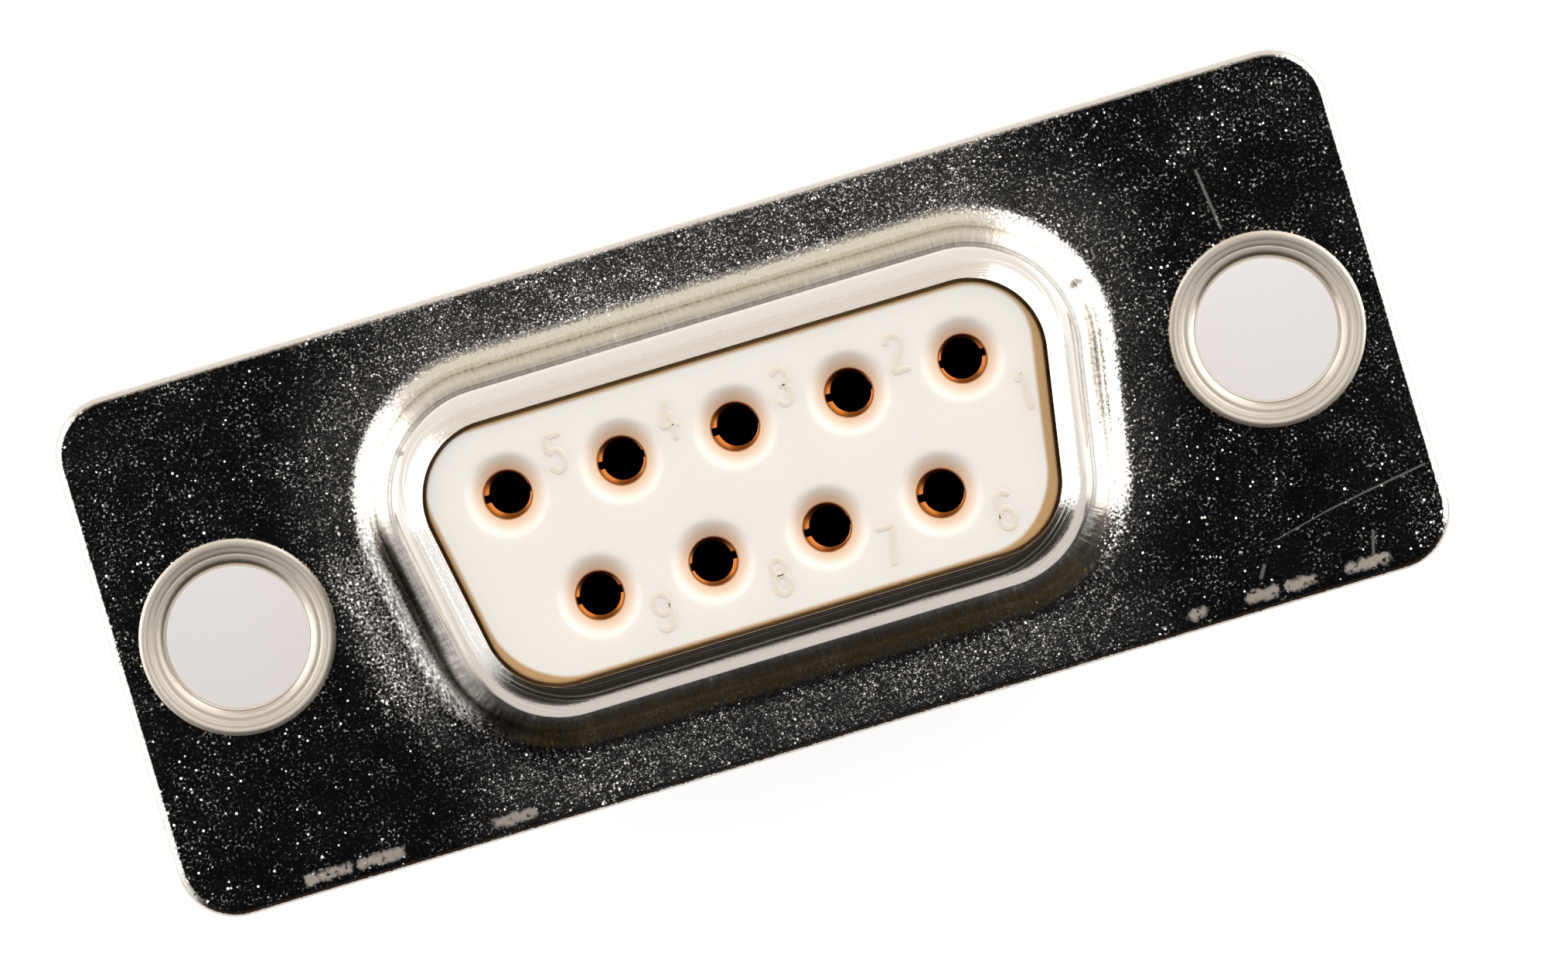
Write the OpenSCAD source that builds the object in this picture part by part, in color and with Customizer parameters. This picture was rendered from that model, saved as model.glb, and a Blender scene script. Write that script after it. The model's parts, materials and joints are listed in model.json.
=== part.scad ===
// Nine-way D-subminiature socket connector for a panel, with solder cups.
// +Z is the way the plug comes off, z = 0 is the front of the flange, and the
// origin lies midway between the mounting holes, on the flange's front.
// The wide row of five contacts is on the +Y side.

/* [Contacts] */
// Distance between neighbouring contacts in a row
pitch = 2.74; // [2.6:0.01:3]
// Distance between the two rows
row_gap = 2.84; // [2.6:0.01:3.2]
// Bore of a socket, which grips the pin of a plug
socket_bore_d = 1.04; // [0.8:0.02:1.2]
// Depth of the socket bore
socket_depth = 5.4; // [4.5:0.1:5.8]
// Outside diameter of the sprung socket barrel
barrel_d = 1.7; // [1.4:0.05:1.8]
// Width of the slot between the two tines of a socket
tine_slot = 0.2; // [0.1:0.05:0.4]
// Length of the tines, from the mouth of the socket
tine_length = 3.6; // [2:0.1:4.5]
// Bevel at the mouth, inside and outside
lead = 0.1; // [0.05:0.01:0.15]
// Diameter of the collar that the two insulators trap
collar_d = 2.3; // [2:0.05:2.5]
// Thickness of the collar
collar_t = 0.5; // [0.3:0.05:0.8]
// Diameter of the shank and the solder cup
shank_d = 1.5; // [1.3:0.05:1.8]
// Bore of the solder cup
cup_bore_d = 1.1; // [0.8:0.05:1.2]
// Depth of the solder cup
cup_depth = 3.2; // [2:0.1:4]
// Length over which the side of the cup is cut open
cup_open = 1.7; // [1:0.1:2.5]
// Radius of the cutter that opens the cup
scoop_r = 0.9; // [0.5:0.1:1.5]
// Length of a contact behind the rear insulator
tail = 5.65; // [4.5:0.05:8]

/* [Insulators] */
// Margin of the front face beyond the end contact, along the row
face_end = 1.785; // [1.6:0.005:2.1]
// Margin of the front face beyond a row, across the rows
face_side = 1.63; // [1.5:0.01:1.9]
// Corner radius of the front face
face_r = 1.6; // [1.2:0.05:1.9]
// Slope of the two ends of the D
end_slope = 10; // [6:0.5:14]
// Round on the edge of the front face
face_edge_r = 0.2; // [0.1:0.05:0.3]
// How far the front face lies below the rim of the shell
face_recess = 0.12; // [0.05:0.01:0.3]
// Hole in the front face that guides a pin in, at its inner end
entry_d = 1.1; // [1.06:0.02:1.4]
// Moulding draft of that hole, which widens towards the face
entry_draft = 2; // [1:0.5:4]
// Diameter of the dished lead-in round each hole
dish_d = 1.95; // [1.6:0.05:2.2]
// Depth of that dish at its middle, before the hole is made
dish_depth = 0.42; // [0.25:0.01:0.6]
// Thickness of the face in front of the sockets
entry_wall = 0.95; // [0.7:0.05:1.4]
// Step out from the front face to the foot inside the rear shell
foot_step = 1.8; // [1.5:0.05:2]
// Thickness of the foot
foot_t = 0.95; // [0.7:0.05:1.4]
// How far the rear insulator stands out of the rear shell
rear_proud = 0.5; // [0.3:0.05:1.2]

/* [Shells] */
// Thickness of the steel sheet
sheet = 0.45; // [0.35:0.01:0.5]
// Height of the shroud above the flange
shroud_h = 6.05; // [5.7:0.05:6.5]
// Outer radius where the wall rolls in to the rim
roll_r = 0.85; // [0.6:0.01:1]
// How far the rim rolls over, where 90 would leave its lip flat
roll_turn = 75; // [60:1:90]
// Draft of the drawn wall
draft = 5.5; // [3:0.5:7]
// Radius between the wall and the flange
draw_r = 0.9; // [0.5:0.05:1]
// Depth of the rear shell behind its flange
rear_depth = 3.9; // [3.2:0.1:5]
// Draft of the rear shell's wall
rear_draft = 2; // [1:0.5:4]
// Radius between the rear shell's wall and its flange
rear_draw_r = 0.5; // [0.3:0.05:0.7]

/* [Flange] */
// Distance from the end contact to the mounting hole
hole_end = 7.015; // [6.8:0.005:9]
// Distance from the mounting hole to the end of the flange
flange_end = 2.91; // [2.6:0.01:4]
// Distance from a row to the long edge of the flange
flange_side = 4.855; // [4.7:0.005:6]
// Corner radius of the flange
flange_r = 1.4; // [0.8:0.1:2.4]
// Round that the punch leaves along the flange's outer edge
punch_r = 0.18; // [0.05:0.01:0.3]

/* [Eyelets] */
// Clear hole through an eyelet, for the mounting screw
screw_hole_d = 3.3; // [3:0.05:3.6]
// Wall of the eyelet's tube
eyelet_wall = 0.3; // [0.2:0.05:0.4]
// Diameter of the eyelet's heads
head_d = 4.58; // [4.4:0.02:5]
// Thickness of the heads
head_t = 0.3; // [0.2:0.05:0.4]

/* [Clearances] */
// Gap between the front face and the opening it looks out of
nose_gap = 0.15; // [0.05:0.01:0.2]
// Gap between an insulator and the shell round it
body_fit = 0.05; // [0.02:0.01:0.1]
// Gap between a contact and the insulator round it
contact_fit = 0.08; // [0.04:0.01:0.12]
// Gap between an eyelet's tube and its holes
eyelet_fit = 0.03; // [0.01:0.01:0.05]

/* [Hidden] */
$fn = 64;
CUT = 0.5;
SEAM = 0.15;
CORNER_STEPS = 12;
BEND_STEPS = 6;

TIN = [0.74, 0.74, 0.72];
NICKEL = [0.80, 0.78, 0.74];
CREAM = [0.95, 0.92, 0.87];
GOLD = [0.83, 0.65, 0.33];

// Contacts 1 to 5 run from right to left in the wide row, and 6 to 9 in the narrow one.
WIDE_ROW = 5;
function contact_x(n) = n <= WIDE_ROW ? (3 - n) * pitch : (7.5 - n) * pitch;
function contact_y(n) = n <= WIDE_ROW ? row_gap / 2 : -row_gap / 2;

// The D is kept as the centres of its four corners. Every outline of the shells
// and insulators lies at its own distance, u, outside this four-sided core.
CORE_Y = row_gap / 2 + face_side - face_r;
CORE_X_WIDE = 2 * pitch + face_end - face_r;
CORE_X_NARROW = CORE_X_WIDE - 2 * CORE_Y * tan(end_slope);
CORE = [
  [-CORE_X_NARROW, -CORE_Y], [CORE_X_NARROW, -CORE_Y],
  [CORE_X_WIDE, CORE_Y], [-CORE_X_WIDE, CORE_Y]
];

// Heights along the mating axis
FACE_Z = shroud_h - face_recess;
SOCKET_Z = FACE_Z - entry_wall;
FOOT_Z = -sheet;
SPLIT_Z = FOOT_Z - foot_t;
REAR_FLANGE_Z = -2 * sheet;
REAR_RIM_Z = REAR_FLANGE_Z - rear_depth;
REAR_FACE_Z = REAR_RIM_Z - rear_proud;
CUP_END_Z = REAR_FACE_Z - tail;

// Distances outside the core
NOSE_U = face_r;
RIM_U = NOSE_U + nose_gap + rim_width(draft);
FOOT_U = NOSE_U + foot_step;
REAR_RIM_U = FOOT_U + body_fit + sheet / cos(rear_draft)
             - (roll_z(rear_depth) - (REAR_FLANGE_Z - SPLIT_Z)) * tan(rear_draft);
REAR_NOSE_U = REAR_RIM_U - rim_width(rear_draft) - nose_gap;

HOLE_X = 2 * pitch + hole_end;
FLANGE_X = HOLE_X + flange_end;
FLANGE_Y = row_gap / 2 + flange_side;
FLANGE_CORE = [
  [flange_r - FLANGE_X, flange_r - FLANGE_Y], [FLANGE_X - flange_r, flange_r - FLANGE_Y],
  [FLANGE_X - flange_r, FLANGE_Y - flange_r], [flange_r - FLANGE_X, FLANGE_Y - flange_r]
];
EYELET_D = screw_hole_d + 2 * eyelet_wall;

function heading(from, to) = atan2(to.y - from.y, to.x - from.x);

// Height of the roll's centre under a rim, and the width from the lip to the outside
function roll_z(rim_z) = rim_z - roll_r * sin(roll_turn);
function rim_width(slope) = roll_r / cos(slope) - (roll_r - sheet) * cos(roll_turn);

// Outside of a drafted wall at height z, which is rim_u at the roll's centre
function wall_u(z, rim_u, rim_z, slope) = rim_u + (roll_z(rim_z) - z) * tan(slope);

// Inside of the same wall
function inner_u(z, rim_u, rim_z, slope) =
  wall_u(z, rim_u, rim_z, slope) - sheet / cos(slope);

// Where the radius at the foot of the wall has turned into the flange
function foot_u(rim_u, rim_z, slope, r) =
  wall_u(r, rim_u, rim_z, slope) + r / cos(slope);

// Stations round a convex outline: each is a corner's centre and a direction from it
function stations(corners) = [
  for (i = [0 : len(corners) - 1])
    let (
      last = (i + len(corners) - 1) % len(corners),
      next = (i + 1) % len(corners),
      start = heading(corners[last], corners[i]) - 90,
      turn = (heading(corners[i], corners[next]) - 90 - start + 720) % 360
    )
    for (k = [0 : CORNER_STEPS]) [corners[i], start + turn * k / CORNER_STEPS]
];

// The outline at a distance u outside the corners' centres, at height z
function outline(corners, u, z) = [
  for (s = stations(corners)) [s[0].x + u * cos(s[1]), s[0].y + u * sin(s[1]), z]
];

// Facets between the outlines of two neighbouring points of a section
function band(low, high, count) = [
  for (k = [0 : count - 1])
    let (next = (k + 1) % count)
    [low * count + k, high * count + k, high * count + next, low * count + next]
];

// A solid, from a section of [u, z] points that runs up its side
module stack(corners, section) {
  count = len(stations(corners));
  top = len(section) - 1;
  polyhedron(
    points = [for (p = section) each outline(corners, p[0], p[1])],
    faces = [
      [for (k = [0 : count - 1]) k],
      for (j = [0 : top - 1]) each band(j, j + 1, count),
      [for (k = [count - 1 : -1 : 0]) top * count + k]
    ]
  );
}

// A hoop, from a closed section of [u, z] points that runs up its outer side
module hoop(corners, section) {
  count = len(stations(corners));
  points = [for (p = section) each outline(corners, p[0], p[1])];
  polyhedron(
    points = points,
    faces = [for (j = [0 : len(section) - 1]) each band(j, (j + 1) % len(section), count)]
  );
}

// Points along an arc, from one angle to another
function arc(at, r, from, to) = [
  for (k = [0 : BEND_STEPS])
    let (a = from + (to - from) * k / BEND_STEPS)
    at + r * [cos(a), sin(a)]
];

// Section of a drawn shell: a little of the flange, the radius at the foot, the
// drafted wall, and the roll that ends in the rim's cut edge
function drawn_section(rim_u, rim_z, slope, r) =
  let (
    roll_at = [rim_u - roll_r / cos(slope), roll_z(rim_z)],
    foot_at = [foot_u(rim_u, rim_z, slope, r), r]
  )
  concat(
    [[foot_at.x + 2 * SEAM, -sheet], [foot_at.x + 2 * SEAM, 0]],
    arc(foot_at, r, 270, 180 + slope),
    arc(roll_at, roll_r, slope, roll_turn),
    arc(roll_at, roll_r - sheet, roll_turn, slope),
    arc(foot_at, r + sheet, 180 + slope, 270)
  );

// The shoulder of a moulding that lies in the roll, a little smaller all round
function shoulder(rim_u, rim_z, slope) =
  arc(
    [rim_u - roll_r / cos(slope), roll_z(rim_z)],
    roll_r - sheet - body_fit, slope, roll_turn
  );

// Flange of one shell, with the punch's round on its front edge and its two rivet holes
module flange(open_u) {
  difference() {
    stack(
      FLANGE_CORE,
      concat(
        [[flange_r, -sheet]],
        arc([flange_r - punch_r, -punch_r], punch_r, 0, 90)
      )
    );
    stack(CORE, [[open_u + SEAM, -sheet - CUT], [open_u + SEAM, CUT]]);
    for (side = [-1, 1])
      translate([side * HOLE_X, 0, -sheet - CUT])
        cylinder(d = EYELET_D + 2 * eyelet_fit, h = sheet + 2 * CUT);
  }
}

module front_shell() {
  color(TIN) {
    flange(foot_u(RIM_U, shroud_h, draft, draw_r));
    hoop(CORE, drawn_section(RIM_U, shroud_h, draft, draw_r));
  }
}

// The rear shell is drawn the other way, and its flange lies against the front one's
module rear_shell() {
  color(TIN)
    translate([0, 0, REAR_FLANGE_Z])
      mirror([0, 0, 1]) {
        flange(foot_u(REAR_RIM_U, rear_depth, rear_draft, rear_draw_r));
        hoop(CORE, drawn_section(REAR_RIM_U, rear_depth, rear_draft, rear_draw_r));
      }
}

// Side of the front moulding: foot, drafted body, shoulder in the roll, and nose
function front_section() =
  let (rolled = shoulder(RIM_U, shroud_h, draft))
  concat(
    [
      [FOOT_U, SPLIT_Z],
      [FOOT_U, FOOT_Z],
      [inner_u(FOOT_Z, RIM_U, shroud_h, draft) - body_fit / cos(draft), FOOT_Z]
    ],
    rolled,
    [[NOSE_U, rolled[BEND_STEPS].y]],
    arc([NOSE_U - face_edge_r, FACE_Z - face_edge_r], face_edge_r, 0, 90)
  );

// Space for one contact: dish, entry hole, chamber for the tines, and seat for the collar
module contact_chamber() {
  dish_r = (pow(dish_d / 2, 2) + pow(dish_depth, 2)) / (2 * dish_depth);
  seat_z = SPLIT_Z + collar_t;
  entry_h = entry_wall + CUT;
  translate([0, 0, FACE_Z - dish_depth + dish_r])
    sphere(dish_r);
  translate([0, 0, SOCKET_Z])
    cylinder(d1 = entry_d, d2 = entry_d + 2 * entry_h * tan(entry_draft), h = entry_h);
  translate([0, 0, SPLIT_Z - CUT])
    cylinder(d = barrel_d + 2 * contact_fit, h = SOCKET_Z + contact_fit - SPLIT_Z + CUT);
  translate([0, 0, SPLIT_Z - CUT])
    cylinder(d = collar_d + 2 * contact_fit, h = seat_z - SPLIT_Z + CUT);
}

module front_insulator() {
  color(CREAM)
    difference() {
      stack(CORE, front_section());
      for (n = [1 : 9])
        translate([contact_x(n), contact_y(n), 0]) contact_chamber();
    }
}

// Side of the rear moulding, measured down from the rear flange: body, shoulder, nose
function rear_section() =
  let (rolled = shoulder(REAR_RIM_U, rear_depth, rear_draft))
  concat(
    [[FOOT_U, REAR_FLANGE_Z - SPLIT_Z]],
    rolled,
    [[REAR_NOSE_U, rolled[BEND_STEPS].y], [REAR_NOSE_U, rear_depth + rear_proud]]
  );

module rear_insulator() {
  color(CREAM)
    difference() {
      translate([0, 0, REAR_FLANGE_Z])
        mirror([0, 0, 1]) stack(CORE, rear_section());
      for (n = [1 : 9])
        translate([contact_x(n), contact_y(n), REAR_FACE_Z - CUT])
          cylinder(d = shank_d + 2 * contact_fit, h = SPLIT_Z - REAR_FACE_Z + 2 * CUT);
    }
}

// Turned outside of a contact, with a small bevel at the mouth of the socket
module turned_contact() {
  rotate_extrude()
    polygon([
      [0, CUP_END_Z],
      [shank_d / 2, CUP_END_Z],
      [shank_d / 2, SPLIT_Z],
      [collar_d / 2, SPLIT_Z],
      [collar_d / 2, SPLIT_Z + collar_t],
      [barrel_d / 2, SPLIT_Z + collar_t],
      [barrel_d / 2, SOCKET_Z - lead],
      [barrel_d / 2 - lead, SOCKET_Z],
      [0, SOCKET_Z]
    ]);
}

// Solder cup: bored from behind, with one side scooped away by a round cutter
module cup_cuts() {
  scoop_y = cup_bore_d / 8;
  translate([0, 0, CUP_END_Z - CUT])
    cylinder(d = cup_bore_d, h = cup_depth + CUT);
  translate([-shank_d, scoop_y, CUP_END_Z - CUT])
    cube([2 * shank_d, shank_d, cup_open + CUT]);
  translate([-shank_d, scoop_y + scoop_r, CUP_END_Z + cup_open])
    rotate([0, 90, 0]) cylinder(r = scoop_r, h = 2 * shank_d);
}

// One turned contact. The cup opens away from the other row.
module contact(n) {
  away = n <= WIDE_ROW ? 0 : 180;
  color(GOLD)
    translate([contact_x(n), contact_y(n), 0])
      rotate([0, 0, away])
        difference() {
          turned_contact();
          translate([0, 0, SOCKET_Z - socket_depth])
            cylinder(d = socket_bore_d, h = socket_depth + CUT);
          translate([0, 0, SOCKET_Z - lead])
            cylinder(d1 = socket_bore_d, d2 = socket_bore_d + 4 * lead, h = 2 * lead);
          translate([-barrel_d, -tine_slot / 2, SOCKET_Z - tine_length])
            cube([2 * barrel_d, tine_slot, tine_length + CUT]);
          cup_cuts();
        }
}

// Quarter disc about the origin, from one angle to another 90 degrees on
module quarter(r, from) {
  intersection() {
    circle(r);
    rotate(from) square(2 * r);
  }
}

// Head of an eyelet: rounded into the bore, and rounded off at its edge
module eyelet_head() {
  edge_r = head_t / 2;
  translate([EYELET_D / 2 - eyelet_wall + head_t, 0])
    quarter(head_t, 90);
  translate([EYELET_D / 2 - eyelet_wall + head_t, 0])
    square([(head_d - EYELET_D) / 2 + eyelet_wall - head_t - edge_r, head_t]);
  translate([head_d / 2 - edge_r, 0])
    square([edge_r, head_t - edge_r]);
  translate([head_d / 2 - edge_r, head_t - edge_r])
    quarter(edge_r, 0);
}

// Tubular rivet that holds the two flanges together
module eyelet(side) {
  color(NICKEL)
    translate([side * HOLE_X, 0, 0])
      rotate_extrude() {
        translate([screw_hole_d / 2, REAR_FLANGE_Z])
          square([eyelet_wall, 2 * sheet]);
        eyelet_head();
        translate([0, REAR_FLANGE_Z])
          mirror([0, 1]) eyelet_head();
      }
}

front_shell();
rear_shell();
front_insulator();
rear_insulator();
contact(1);  // contact_1
contact(2);  // contact_2
contact(3);  // contact_3
contact(4);  // contact_4
contact(5);  // contact_5
contact(6);  // contact_6
contact(7);  // contact_7
contact(8);  // contact_8
contact(9);  // contact_9
eyelet(-1);  // eyelet_left
eyelet(1);  // eyelet_right
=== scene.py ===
# %% [markdown]
# # A nine-way D-sub socket connector
#
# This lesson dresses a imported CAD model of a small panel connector. The real one is two sheets of
# plated steel, drawn into D-shaped cups and held back to back by two eyelets. Between them lie two
# cream mouldings that trap nine turned contacts. The CAD gives sizes and places. Here each piece
# gets a finer surface, its finish, and light that shows it. All sizes are in millimetres until a
# mesh is made, because that is how the parts are drawn.

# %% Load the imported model
import json
import bmesh
import bpy
import numpy as np
from mathutils import Matrix, Vector
from mathutils.geometry import delaunay_2d_cdt


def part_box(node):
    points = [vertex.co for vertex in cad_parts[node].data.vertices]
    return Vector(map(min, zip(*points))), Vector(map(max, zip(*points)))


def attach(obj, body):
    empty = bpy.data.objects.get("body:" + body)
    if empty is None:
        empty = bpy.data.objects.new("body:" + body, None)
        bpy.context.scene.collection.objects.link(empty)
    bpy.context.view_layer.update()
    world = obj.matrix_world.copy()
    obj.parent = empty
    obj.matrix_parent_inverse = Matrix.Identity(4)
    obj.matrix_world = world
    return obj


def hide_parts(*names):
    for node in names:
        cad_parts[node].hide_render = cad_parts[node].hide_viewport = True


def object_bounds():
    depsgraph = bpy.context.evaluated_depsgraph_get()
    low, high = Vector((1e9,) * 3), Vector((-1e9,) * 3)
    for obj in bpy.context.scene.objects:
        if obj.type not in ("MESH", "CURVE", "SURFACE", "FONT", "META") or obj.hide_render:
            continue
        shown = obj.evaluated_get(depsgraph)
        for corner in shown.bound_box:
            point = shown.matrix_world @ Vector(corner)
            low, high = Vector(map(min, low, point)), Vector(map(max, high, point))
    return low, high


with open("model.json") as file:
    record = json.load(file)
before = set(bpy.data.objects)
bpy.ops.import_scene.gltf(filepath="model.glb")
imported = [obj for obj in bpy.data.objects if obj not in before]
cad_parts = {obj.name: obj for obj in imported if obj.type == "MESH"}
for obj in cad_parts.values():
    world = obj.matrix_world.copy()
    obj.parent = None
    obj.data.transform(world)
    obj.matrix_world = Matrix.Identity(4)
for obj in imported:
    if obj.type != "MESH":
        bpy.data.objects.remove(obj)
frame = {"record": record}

MM = 0.001
cad_bounds = [list(corner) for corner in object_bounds()]
print("the CAD model spans", np.round(np.subtract(*cad_bounds[::-1]) / MM, 2), "mm")

# %% [markdown]
# Sizes that the CAD already knows are read from it, so the two can't disagree: the record gives the
# mounts' places, and a node's box gives its ends. The few that no box shows, such as a radius or a
# draft, are written where they are first used, mostly with the values of the part's source. The
# roll of the front rim, the foot, the edge of the face and the dishes are drawn anew, from how the
# real ones catch the light.

# %% Read places and heights
record = frame["record"]
mounts = {m["name"]: np.array(m["pos_m"]) / MM for m in record["mounts"]}


def span(node):
    """Lowest and highest corner of a CAD node, in millimetres."""
    low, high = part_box(node)
    return np.array(low) / MM, np.array(high) / MM


SOCKETS = np.array([mounts[f"socket_{n}"][:2] for n in range(1, 10)])
SHEET = -span("rear_shell")[1][2]
FLANGE_X, FLANGE_Y, RIM_Z = span("front_shell")[1]
REAR_RIM_Z = span("rear_shell")[0][2]
SPLIT_Z, FACE_Z = span("front_insulator")[0][2], span("front_insulator")[1][2]
REAR_FACE_Z = span("rear_insulator")[0][2]
CUP_END_Z, SOCKET_Z = span("contact_1")[0][2], span("contact_1")[1][2]
EYELET_LOW, EYELET_HIGH = span("eyelet_right")
HOLE_X = (EYELET_LOW[0] + EYELET_HIGH[0]) / 2
REAR_FLANGE_Z = -2 * SHEET
print("rim at", round(RIM_Z, 2), "mm, face at", round(FACE_Z, 2), "mm, holes at", round(HOLE_X, 3))

# %% [markdown]
# ## Outlines
#
# Every D on this connector, from the edge of the moulding to the foot of the steel wall, is one
# four-cornered core grown outwards by some distance u. So an outline is kept as a list of stations:
# a point on the core and the direction straight out from it. Round a corner the point stands still
# and the direction turns. Along a side the direction stays and the point moves.

# %% The D and the flange as stations
CORE_Y = 1.45
CORE_WIDE = 5.665
END_SLOPE = np.radians(10)
CORE_NARROW = CORE_WIDE - 2 * CORE_Y * np.tan(END_SLOPE)
FLANGE_R = 1.4


def stations(corners, turn_steps, side_steps):
    """Points on a convex outline's core and the unit directions out of them.

    Round corner i the direction turns evenly from the normal of the side that arrives to that of
    the side that leaves, and along the side the point runs evenly to the next corner.
    """
    corners = np.asarray(corners, float)
    after = np.roll(corners, -1, axis=0)
    heading = np.arctan2(*(after - corners).T[::-1])
    start = np.roll(heading, 1) - np.pi / 2
    turn = (heading - np.pi / 2 - start) % (2 * np.pi)
    angle = start[:, None] + turn[:, None] * np.linspace(0, 1, turn_steps + 1)
    share = np.linspace(0, 1, side_steps + 1)[1:-1]
    along = corners[:, None] + (after - corners)[:, None] * share[None, :, None]
    point = np.concatenate([np.repeat(corners[:, None], turn_steps + 1, axis=1), along], axis=1)
    side_angle = np.repeat(angle[:, -1:], side_steps - 1, axis=1)
    angle = np.concatenate([angle, side_angle], axis=1).ravel()
    return point.reshape(-1, 2), np.stack([np.cos(angle), np.sin(angle)], axis=1)


def rectangle(half_x, half_y):
    """Corners of a rectangle about the origin, anticlockwise."""
    return [(-half_x, -half_y), (half_x, -half_y), (half_x, half_y), (-half_x, half_y)]


D_CORE = [(-CORE_NARROW, -CORE_Y), (CORE_NARROW, -CORE_Y),
          (CORE_WIDE, CORE_Y), (-CORE_WIDE, CORE_Y)]
D_PATH = stations(D_CORE, 40, 24)
FLANGE_PATH = stations(rectangle(FLANGE_X - FLANGE_R, FLANGE_Y - FLANGE_R), 24, 2)
print("stations round the D:", len(D_PATH[0]))

# %% [markdown]
# ## Surfaces
#
# A profile carried round an outline, or turned round an axis, is a grid of points with two
# parameters. The grids come from whole arrays, and the faces from one array of corner numbers. A
# solid is made by putting such surfaces together and merging the points that they share.

# %% Grids, plates and solids
SLIVER, CUTTER_NEAR = 1e-5, 1e-6
WELD_M, DOT_M = 2e-7, 1e-8
ROUND_STEPS = 96


def sweep(path, section):
    """Carry a section of [u, z] points round an outline: point + u * direction, at height z."""
    point, out = path
    xy = point[:, None] + section[None, :, :1] * out[:, None]
    z = np.broadcast_to(section[None, :, 1:], (len(point), len(section), 1))
    return np.concatenate([xy, z], axis=2)


def turned(profile, centre, steps=ROUND_STEPS):
    """Turn a profile of [r, z] points about an upright axis: centre + r * (cos a, sin a)."""
    angle = np.linspace(0, 2 * np.pi, steps, endpoint=False)
    around = np.stack([np.cos(angle), np.sin(angle)], axis=1)
    return sweep((np.broadcast_to(centre, around.shape), around), np.asarray(profile, float))


def surface(grid, flip=False):
    """Points and four-sided faces of a grid that closes on itself along its first axis."""
    rows, cols = grid.shape[:2]
    number = np.arange(rows * cols).reshape(rows, cols)
    after = np.roll(number, -1, axis=0)
    faces = np.stack([number[:, :-1], after[:, :-1], after[:, 1:], number[:, 1:]], axis=-1)
    faces = faces.reshape(-1, 4)
    return grid.reshape(-1, 3), faces[:, ::-1] if flip else faces


def inside(points, loop):
    """Which points lie inside a convex anticlockwise loop: left of every one of its sides."""
    side = np.roll(loop, -1, axis=0) - loop
    away = points[:, None] - loop[None]
    return np.all(side[None, :, 0] * away[..., 1] - side[None, :, 1] * away[..., 0] > 0, axis=1)


def plate(outer, openings, z, up=True):
    """Flat face between a convex outline and the openings in it, cut into triangles.

    The cutter fills the hull, so triangles in an opening are dropped, and so are the slivers, of no
    width, that it lays along a straight side.
    """
    loops = [outer, *openings]
    ends = np.cumsum([len(loop) for loop in loops])
    edges = []
    for loop, end in zip(loops, ends):
        number = np.arange(end - len(loop), end)
        edges += np.stack([number, np.roll(number, -1)], axis=1).tolist()
    flat = [Vector(p) for p in np.concatenate(loops)]
    points, _, faces, *_ = delaunay_2d_cdt(flat, edges, [], 0, CUTTER_NEAR)
    points, faces = np.array([tuple(p) for p in points]), np.array(faces)
    middle = points[faces].mean(axis=1)
    keep = ~np.any([inside(middle, loop) for loop in openings], axis=0)
    a, b, c = points[faces].transpose(1, 0, 2)
    turn = (b - a)[:, 0] * (c - a)[:, 1] - (b - a)[:, 1] * (c - a)[:, 0]
    keep &= np.abs(turn) > SLIVER
    faces = np.where((turn > 0)[:, None] == up, faces, faces[:, ::-1])[keep]
    return np.column_stack([points, np.full(len(points), z)]), faces


def ring(centre, r):
    """Points of a circle, which match the edge of a turned surface of the same radius."""
    return turned([(r, 0)], centre)[:, 0, :2]


def outline(path, u):
    """Points of the outline at distance u outside its core."""
    return path[0] + u * path[1]


def solid(name, surfaces, replaces=(), sharp=35):
    """Join surfaces into a closed mesh, merge shared points, and shade it smooth up to an angle."""
    sizes = np.cumsum([0] + [len(points) for points, _ in surfaces])
    points = np.concatenate([points for points, _ in surfaces]) * MM
    faces = [face for (_, f), start in zip(surfaces, sizes) for face in (f + start).tolist()]
    mesh = bpy.data.meshes.new(name)
    mesh.from_pydata(points.tolist(), [], faces)
    work = bmesh.new()
    work.from_mesh(mesh)
    bmesh.ops.remove_doubles(work, verts=work.verts, dist=WELD_M)
    bmesh.ops.dissolve_degenerate(work, edges=work.edges, dist=DOT_M)
    volume = work.calc_volume(signed=True) / MM**3
    open_edges = sum(len(edge.link_faces) != 2 for edge in work.edges)
    work.to_mesh(mesh)
    work.free()
    mesh.shade_smooth()
    mesh.set_sharp_from_angle(angle=np.radians(sharp))
    piece = bpy.data.objects.new(name, mesh)
    bpy.context.scene.collection.objects.link(piece)
    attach(piece, "root")
    if replaces:
        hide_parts(*replaces)
    print(f"{name}: {len(mesh.polygons)} faces, {volume:.2f} mm3, {open_edges} open edges")
    return piece


print("a turned ring has", len(surface(turned([(1, 0), (1, 1)], (0, 0)))[1]), "faces")

# %% [markdown]
# ## The drawn shells
#
# A press draws the shroud out of flat sheet, so the steel leaves the flange in a radius, climbs a
# wall with a little draft and rolls in at the rim, at one thickness all the way. The outside is
# worked out as a path whose slope grows from flat to steep. Where the sheet leaves the flange the
# radius starts very large, because real sheet eases into a bend. The inside is the same path moved
# in by the sheet's thickness.

# %% Section of a drawn shell
FLAT_U = 4.3
DIE_LINE, DIE_LINE_DOWN, DIE_LINE_WIDE = 0.006, 2.0, 0.25
CUT_BULGE = 0.012


def arc(centre, r, start, end, steps):
    """Points on an arc: centre + r * (cos a, sin a), with angle a in degrees."""
    a = np.radians(np.linspace(start, end, steps))
    return np.asarray(centre) + r * np.stack([np.cos(a), np.sin(a)], axis=1)


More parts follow.
